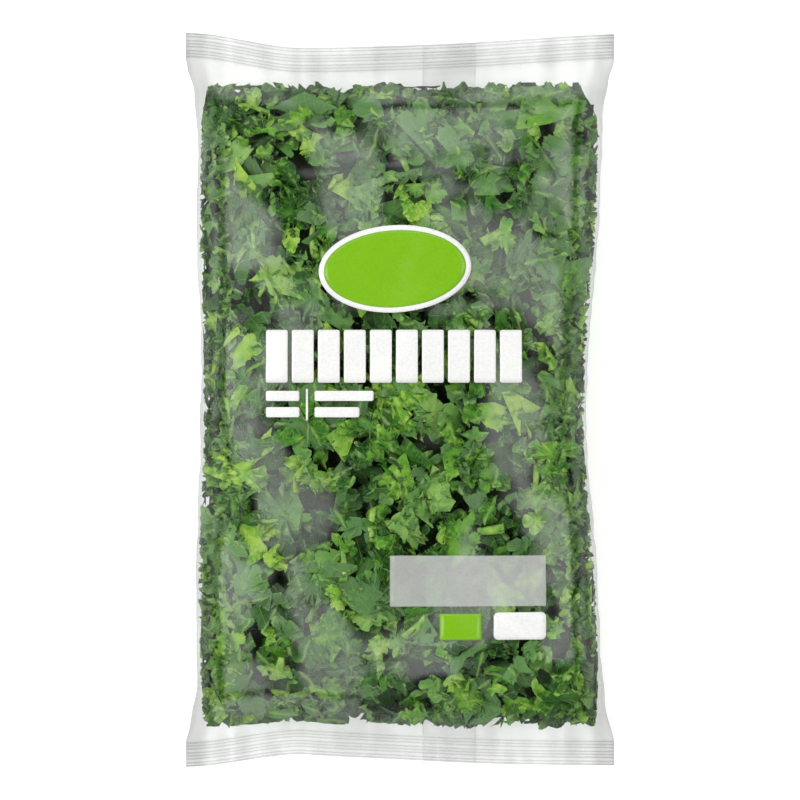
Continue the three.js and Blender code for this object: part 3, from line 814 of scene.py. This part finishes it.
def make_stems(seed, material):
    """Short cut lengths of rib: bent tapering rods of an oval section with flat ends."""
    rng = np.random.default_rng(seed)
    points, faces, count = [], [], 0
    along = np.linspace(-0.5, 0.5, STEM_STEPS)
    turn = 2 * np.pi * np.arange(STEM_SIDES) / STEM_SIDES
    for side, spacing in STEM_SPACINGS:
        for centre, normal in surface_places(rng, side, spacing, STEM_DEPTH):
            length, radius = rng.uniform(*STEM_LENGTHS), rng.uniform(*STEM_RADII)
            bow = rng.uniform(*STEM_BOWS) * length
            taper = radius * (1 - rng.uniform(*STEM_TAPERS) * (along + 0.5) ** TAPER_POWER)
            local = np.stack([
                (along * length)[:, None] + 0 * turn,
                (bow * (4 * along ** 2 - 1))[:, None] + taper[:, None] * np.cos(turn) * STEM_OVAL[0],
                taper[:, None] * np.sin(turn) * STEM_OVAL[1],
            ], axis=-1).reshape(-1, 3)
            rod = placed_leaf(local, rng, centre, normal, abs(rng.normal(0, STEM_TILT)))
            points.append(held_inside(rod))
            faces += (np.array(tube_faces(STEM_STEPS, STEM_SIDES)) + count).tolist()
            faces.append([count + i for i in range(STEM_SIDES)][::-1])
            count += STEM_STEPS * STEM_SIDES
            faces.append([count - STEM_SIDES + i for i in range(STEM_SIDES)])
    piece = make_mesh("kale_stems", np.concatenate(points), faces)
    finish_piece(piece, material)


# Prints on the front film: left, top, right and bottom of each in the photograph's pixels

BADGE_BORDER, BADGE, BADGE_TILT = (320, 228, 470, 314), (325, 233, 465, 309), 0.06
HEADLINE, HEADLINE_BLOCKS, HEADLINE_SHARE, HEADLINE_RADIUS = (268, 331, 524, 383), 10, 0.84, 0.9
# The panels, with their corner radius in millimetres
PANELS = {
    "note_left": ((268, 391, 301, 401), 0.8, "print_white"),
    "note_left_low": ((268, 407, 301, 417), 0.8, "print_white"),
    "note_rule": ((307.5, 389, 309.5, 420), 0.3, "print_white"),
    "note_right": ((316, 391, 374, 401), 0.8, "print_white"),
    "note_right_low": ((316, 407, 360, 417), 0.8, "print_white"),
    "date_panel": ((390, 553, 544, 603), 0.4, "print_pale"),
    "green_panel": ((439, 610, 480, 636), 0.3, "print_green"),
    "white_panel": ((492, 609, 544, 636), 2.2, "print_white"),
}
PRINT_RISE, BADGE_RISE, PRINT_THICKNESS = 0.12, 0.2, 0.05
PRINT_RINGS, PRINT_RING_WIDTH = (4, 14), 5


def pixel_to_mm(column, row):
    scale = SEAL_WIDTH / SEAL_PIXELS
    return (column - FRAME_PIXELS / 2) * scale, (FRAME_PIXELS / 2 - row) * scale


def make_print(name, outline, inks, slot, proud):
    """A thin printed patch that follows the film inside a closed outline around a centre."""
    centre = outline.mean(axis=0)
    rings = int(np.ptp(outline, axis=0).max() / PRINT_RING_WIDTH)
    rings = max(PRINT_RINGS[0], min(PRINT_RINGS[1], rings))
    share = np.arange(1, rings + 1) / rings
    flat = np.concatenate([[centre], (centre + (outline - centre) * share[:, None, None]).reshape(-1, 2)])
    x, y = flat.T
    across = (x - centre_line(y)) / half_width(y)
    top = film_points(across, 1.0 + 0 * x, y, proud)
    under = film_points(across, 1.0 + 0 * x, y, proud - PRINT_THICKNESS)
    triangles, quads = plate_faces(rings, len(outline))
    piece = make_mesh(name, np.concatenate([top, under]), triangles.tolist() + quads.tolist())
    finish_piece(piece, inks[slot])


def ellipse(left, top, right, bottom, tilt=0.0, count=96):
    x0, y0 = pixel_to_mm(left, top)
    x1, y1 = pixel_to_mm(right, bottom)
    turn = 2 * np.pi * np.arange(count) / count
    u, v = (x1 - x0) / 2 * np.cos(turn), (y0 - y1) / 2 * np.sin(turn)
    across = u * math.cos(tilt) - v * math.sin(tilt)
    up = u * math.sin(tilt) + v * math.cos(tilt)
    return np.stack([(x0 + x1) / 2 + across, (y0 + y1) / 2 + up], axis=-1)


def rounded(left, top, right, bottom, radius, per_side=24, per_corner=7):
    """A rectangle with round corners: each corner is an arc, and each side is split evenly."""
    x0, y0 = pixel_to_mm(left, top)
    x1, y1 = pixel_to_mm(right, bottom)
    corners = ((x1 - radius, y0 - radius, 0), (x0 + radius, y0 - radius, 90),
               (x0 + radius, y1 + radius, 180), (x1 - radius, y1 + radius, 270))
    arcs = []
    for x, y, start in corners:
        turn = np.radians(start + np.linspace(0, 90, per_corner))
        arcs.append(np.stack([x + radius * np.cos(turn), y + radius * np.sin(turn)], axis=-1))
    share = np.linspace(0, 1, per_side + 2)[1:-1, None]
    sides = [lerp(arc[-1], after[0], share) for arc, after in zip(arcs, arcs[1:] + arcs[:1])]
    return np.concatenate([part for pair in zip(arcs, sides) for part in pair])


def make_prints(inks):
    """The blank shapes of ink: a badge, a headline of blocks and the small panels."""
    make_print("badge_border", ellipse(*BADGE_BORDER, BADGE_TILT), inks, "print_white", PRINT_RISE)
    make_print("badge", ellipse(*BADGE, BADGE_TILT), inks, "print_green", BADGE_RISE)
    start, top, end, bottom = HEADLINE
    for i in range(HEADLINE_BLOCKS):
        left = lerp(start, end, i / HEADLINE_BLOCKS)
        right = left + HEADLINE_SHARE * (end - start) / HEADLINE_BLOCKS
        outline = rounded(left, top, right, bottom, HEADLINE_RADIUS)
        make_print(f"headline_block_{i + 1}", outline, inks, "print_white", PRINT_RISE)
    for name, (place, radius, slot) in PANELS.items():
        make_print(name, rounded(*place, radius), inks, slot, PRINT_RISE)


# Materials

LEAF_GREENS = (
    (0.0, (0.007, 0.040, 0.002)),
    (0.25, (0.026, 0.132, 0.006)),
    (0.5, (0.074, 0.250, 0.012)),
    (0.75, (0.175, 0.410, 0.028)),
    (1.0, (0.380, 0.600, 0.080)),
)
UNDERSIDE_GREEN, UNDERSIDE_MIX = (0.165, 0.325, 0.12), 0.58
VEIN_GREEN, VEIN_MIX, VEIN_RELIEF = (0.33, 0.52, 0.15), 0.62, 0.8
MIDRIB_HALF, VEIN_PITCH, VEIN_WANDER = 0.0009, 0.0062, 0.005
# Lines beside the midrib: slant, spacing, sharpness and strength
VEINS = ((-0.75, VEIN_PITCH, 6.5, 0.7), (1.6, VEIN_PITCH / 2.6, 4.5, 0.25))
# The inner mass takes the leaf's colours darkened to near black, as painted shade
LEAF_SHINE, INNER_PAINTED_SHADE = 0.18, 0.12
CRINKLE_EDGE, PAINTED_CRINKLE_LIGHT, CRINKLE_RELIEF = (0.36, 0.64), 0.6, 5.0
BLOTCH_SHARE, LEAST_BLOTCH = 0.8, 0.12
RIB_GREENS = ((0.3, (0.10, 0.26, 0.02)), (0.52, (0.24, 0.46, 0.06)), (0.75, (0.46, 0.62, 0.16)))
MILK = (0.81, 0.86, 0.80)
GRAZING_POWER, GRAZING_GLOSS, LEAST_GLOSS = 3.8, 0.6, 0.009
WHITE_INK, GREEN_INK, PALE_INK = (0.9, 0.9, 0.88), (0.205, 0.49, 0.003), (0.92, 0.935, 0.91)
PALE_OPACITY, SPECK_SHADE = 0.28, 0.93


class Value:
    """An output of a shader node that takes part in sums and products."""

    def __init__(self, socket):
        self.socket = socket

    def maths(self, operation, other=None, clamp=False):
        made = node(self.socket.id_data, "Math", {0: self}, operation=operation, use_clamp=clamp)
        if other is not None:
            plug(other, made, 1)
        return Value(made.outputs[0])

    def __add__(self, other):
        return self.maths("ADD", other)

    def __sub__(self, other):
        return self.maths("SUBTRACT", other)

    def __mul__(self, other):
        return self.maths("MULTIPLY", other)

    def from_one(self):
        """One minus the value, not below zero."""
        made = node(self.socket.id_data, "Math", {0: 1.0, 1: self}, operation="SUBTRACT", use_clamp=True)
        return Value(made.outputs[0])


def plug(value, target, entry):
    """Writes a number or a colour on a node's input, or links a Value to it."""
    if isinstance(value, Value):
        target.id_data.links.new(value.socket, target.inputs[entry])
    else:
        target.inputs[entry].default_value = value


def material(name):
    made = bpy.data.materials.new(name)
    made.use_nodes = True
    made.node_tree.nodes.clear()
    return made, made.node_tree


def finished(made, tree, shader):
    """The material with its last shader joined to the output."""
    node(tree, "OutputMaterial", {"Surface": Value(shader.outputs[0])})
    return made


def node(tree, kind, values=(), **properties):
    made = tree.nodes.new("ShaderNode" + kind)
    for key, value in properties.items():
        setattr(made, key, value)
    for entry, value in dict(values).items():
        plug(value, made, entry)
    return made


def opaque(colour, share=1.0):
    return (*(share * c for c in colour), 1)


def ramp(tree, factor, stops, share=1.0):
    made = node(tree, "ValToRGB", {"Fac": factor})
    elements = made.color_ramp.elements
    while len(elements) < len(stops):
        elements.new(0.5)
    for element, (place, colour) in zip(elements, stops):
        element.position = place
        element.color = opaque(colour, share)
    return Value(made.outputs["Color"])


def attribute(tree, name, output="Fac"):
    return Value(node(tree, "Attribute", attribute_name=name).outputs[output])


def noise_texture(tree, scale, detail, distortion=0.0, place=None):
    """Noise in the object's own space, or in the space of another place."""
    place = place or Value(node(tree, "TexCoord").outputs["Object"])
    values = {"Vector": place, "Scale": scale, "Detail": detail, "Distortion": distortion}
    return Value(node(tree, "TexNoise", values).outputs["Fac"])


def between(tree, value, low, high, start=0.0, end=1.0):
    """The value's run from start to end, stretched to run from low to high."""
    entries = {"Value": value, "From Min": start, "From Max": end, "To Min": low, "To Max": high}
    return Value(node(tree, "MapRange", entries).outputs["Result"])


def bump(tree, height, strength, distance):
    entries = {"Height": height, "Strength": strength, "Distance": distance}
    return Value(node(tree, "Bump", entries).outputs["Normal"])


def mixed_colour(tree, factor, first, second):
    made = node(tree, "Mix", {0: factor}, data_type="RGBA", clamp_factor=True)
    plug(first, made, 6)
    plug(second, made, 7)
    return Value(made.outputs[2])


def mixed_shader(tree, factor, first, second):
    entries = {0: factor, 1: Value(first.outputs[0]), 2: Value(second.outputs[0])}
    return node(tree, "MixShader", entries)


def vein_mask(tree, place):
    """Thin lines: a midrib, side veins that slant away from it, and finer ones across them."""
    wander = (noise_texture(tree, 110.0, 1.0, place=place) - 0.5) * VEIN_WANDER
    u, v = (Value(part) + wander for part in node(tree, "SeparateXYZ", {0: place}).outputs[:2])
    off = v.maths("ABSOLUTE")
    mask = (off * (1 / MIDRIB_HALF)).from_one()
    for slant, pitch, sharpness, strength in VEINS:
        wave = ((u + off * slant) * (math.pi / pitch)).maths("SINE").maths("ABSOLUTE")
        mask = mask.maths("MAXIMUM", (wave * sharpness).from_one() * strength)
    return mask


# A factor under one darkens every colour of the leaf as painted shade
def kale_material(name, painted_shade_factor=1.0):
    """Leaf: green by its tone with its painted light and shade, blotches, and painted light and shade on
    its crinkles, with pale undersides, rims and veins.
    """
    made, tree = material(name)
    tone, blotch = attribute(tree, "leaf_tone_and_painted_light"), noise_texture(tree, 160.0, 3.0)
    raised = between(tree, noise_texture(tree, 360.0, 1.0, 0.6), -0.5, 0.5, *CRINKLE_EDGE)
    # Painted light and shade on the crinkles, which also raise the bump
    ruffled = attribute(tree, "leaf_crinkle_painted_light_and_bump") * raised * PAINTED_CRINKLE_LIGHT
    blotched = (blotch - 0.5) * (tone * BLOTCH_SHARE + LEAST_BLOTCH)
    green = ramp(tree, (tone + blotched).maths("ADD", ruffled, clamp=True), LEAF_GREENS, painted_shade_factor)
    turned = attribute(tree, "leaf_pale") * UNDERSIDE_MIX
    underside = mixed_colour(tree, turned, green, opaque(UNDERSIDE_GREEN, painted_shade_factor))
    veins = vein_mask(tree, attribute(tree, "leaf_place", "Vector"))
    height = noise_texture(tree, 700.0, 2.0) + veins * VEIN_RELIEF + ruffled * CRINKLE_RELIEF
    return finished(made, tree, node(tree, "BsdfPrincipled", {
        "Base Color": mixed_colour(tree, veins * VEIN_MIX, underside, opaque(VEIN_GREEN, painted_shade_factor)),
        "Roughness": between(tree, blotch, 0.4, 0.62),
        "Specular IOR Level": LEAF_SHINE * painted_shade_factor,
        "Normal": bump(tree, height, 0.6, 0.0006)}))


def stem_material():
    made, tree = material("kale_rib")
    streaks = noise_texture(tree, 260.0, 4.0)
    return finished(made, tree, node(tree, "BsdfPrincipled", {
        "Base Color": ramp(tree, streaks, RIB_GREENS),
        "Roughness": between(tree, streaks, 0.3, 0.55),
        "Normal": bump(tree, streaks, 0.4, 0.0004)}))


def film_material():
    """Clear film: milky in places, with painted shade in its grooves, folds and edge-on walls, and the
    gloss of its skin.
    """
    made, tree = material("clear_film")
    uneven = noise_texture(tree, 300.0, 3.0) * 0.5 + 0.75
    ripple = bump(tree, noise_texture(tree, 120.0, 2.0), 0.18, 0.001)
    # The see-through part is greyed by the film's own tint and its painted shade
    clear = node(tree, "BsdfTransparent", {"Color": attribute(tree, "film_tint_and_painted_shade").from_one()})
    milk = node(tree, "BsdfPrincipled", {
        "Base Color": opaque(MILK), "Roughness": 0.35, "Specular IOR Level": 0.5, "Normal": ripple})
    veiled = mixed_shader(tree, attribute(tree, "film_haze") * uneven, clear, milk)
    gloss = node(tree, "BsdfGlossy", {"Roughness": 0.2, "Normal": ripple})
    facing = Value(node(tree, "LayerWeight", {"Blend": 0.5, "Normal": ripple}).outputs["Facing"])
    mirrored = facing.maths("POWER", GRAZING_POWER) * GRAZING_GLOSS + LEAST_GLOSS
    return finished(made, tree, mixed_shader(tree, mirrored, veiled, gloss))


def ink_material(name, colour, opacity=1.0):
    """Printed ink: a flat colour broken by fine specks, under the gloss of the film."""
    made, tree = material(name)
    stops = ((0.35, opaque(colour, SPECK_SHADE)[:3]), (0.6, colour))
    shade = ramp(tree, noise_texture(tree, 900.0, 3.0), stops)
    shader = node(tree, "BsdfPrincipled", {"Roughness": 0.33, "Base Color": shade})
    if opacity < 1:
        shader = mixed_shader(tree, opacity, node(tree, "BsdfTransparent"), shader)
    return finished(made, tree, shader)


# Object

film = film_material()
leaf = kale_material("kale_leaf")
inner = kale_material("kale_inner_painted_shade", INNER_PAINTED_SHADE)
rib = stem_material()
inks = {
    "print_white": ink_material("white_ink", WHITE_INK),
    "print_green": ink_material("green_ink", GREEN_INK),
    "print_pale": ink_material("pale_ink", PALE_INK, PALE_OPACITY),
}

make_film(film)
make_back_seam(film)
make_core(inner)
for seed, (tag, layer) in enumerate(FRONT_LAYERS.items(), SEEDS["front"]):
    make_leaves(f"kale_front_{tag}", 1.0, layer, seed, leaf, "kale_front_layer")
for seed, (tag, layer) in enumerate(BACK_LAYERS.items(), SEEDS["back"]):
    make_leaves(f"kale_back_{tag}", -1.0, layer, seed, leaf, "kale_back_layer")
make_curls(1.0, SEEDS["front curls"], leaf)
make_curls(-1.0, SEEDS["back curls"], leaf)
make_crease_curls(SEEDS["crease curls"], leaf)
make_side_leaves(SEEDS["side leaves"], leaf)
make_stems(SEEDS["stems"], rib)
make_prints(inks)

# Floor, light and camera

FLOOR_WHITE, FLOOR_GLOW, FLOOR_REACH, FLOOR_GAP = (0.93, 0.93, 0.93), 0.42, 4000, 0.3
# Softboxes: size in metres, power in watts, and place in metres; all face the origin
LAMPS = {
    "left_softbox": ((0.8, 1.3), 15, (-1.2, 0.1, 1.1)),
    "right_softbox": ((0.8, 1.3), 9.5, (1.2, 0.1, 1.1)),
    "top_softbox": ((1.6, 0.7), 7.5, (0, 1.3, 1.3)),
    "bottom_softbox": ((1.6, 0.7), 4.5, (0, -1.3, 1.3)),
}
LAMP_AIM = np.zeros(3)
# The studio's greys from below to overhead
STUDIO_GREYS = ((0.0, 0.85), (0.35, 0.65), (0.75, 0.22), (1.0, 0.12))


def make_floor():
    """A white floor that gives back a little light of its own."""
    made, tree = material("floor")
    finished(made, tree, node(tree, "BsdfPrincipled", {
        "Base Color": opaque(FLOOR_WHITE), "Roughness": 0.9,
        "Emission Color": (1, 1, 1, 1), "Emission Strength": FLOOR_GLOW}))
    signs = ((-1, -1), (1, -1), (1, 1), (-1, 1))
    corners = [(u * FLOOR_REACH, v * FLOOR_REACH, -FLOOR_GAP) for u, v in signs]
    floor = make_mesh("floor", corners, [(0, 1, 2, 3)], smooth=False)
    floor.data.materials.append(made)


def make_lamp(name, size, power, place):
    """A rectangular softbox that faces the middle of the bag's base."""
    lamp = bpy.data.lights.new(name, "AREA")
    lamp.shape = "RECTANGLE"
    lamp.size, lamp.size_y = size
    lamp.energy = power
    made = bpy.data.objects.new(name, lamp)
    made.location = place
    x, y, z = LAMP_AIM - np.array(place)
    made.rotation_euler = (math.atan2(math.hypot(x, y), -z), 0, math.atan2(-x, y))
    bpy.context.scene.collection.objects.link(made)


def make_world():
    """A studio with bright walls and a dark ceiling, so that the film mirrors little from above."""
    world = bpy.data.worlds.new("studio")
    world.use_nodes = True
    tree = world.node_tree
    around = Value(node(tree, "TexCoord").outputs["Generated"])
    height = Value(node(tree, "SeparateXYZ", {0: around}).outputs["Z"])
    greys = ramp(tree, height, [(level, (grey, grey, grey)) for level, grey in STUDIO_GREYS])
    plug(greys, tree.nodes["Background"], "Color")
    bpy.context.scene.world = world


def make_camera():
    lens = bpy.data.cameras.new("camera")
    lens.sensor_width = SENSOR
    view_width = FRAME_PIXELS * SEAL_WIDTH / SEAL_PIXELS
    lens.lens = SENSOR * (VIEW_DISTANCE - SEAL_HEIGHT) / view_width
    lens.clip_end = CLIP_END
    camera = bpy.data.objects.new("camera", lens)
    camera.location = (0, 0, VIEW_DISTANCE * MM)
    bpy.context.scene.collection.objects.link(camera)
    bpy.context.scene.camera = camera


bpy.context.scene.view_settings.view_transform = "Standard"
make_floor()
make_world()
for name, (size, power, place) in LAMPS.items():
    make_lamp(name, size, power, place)
make_camera()
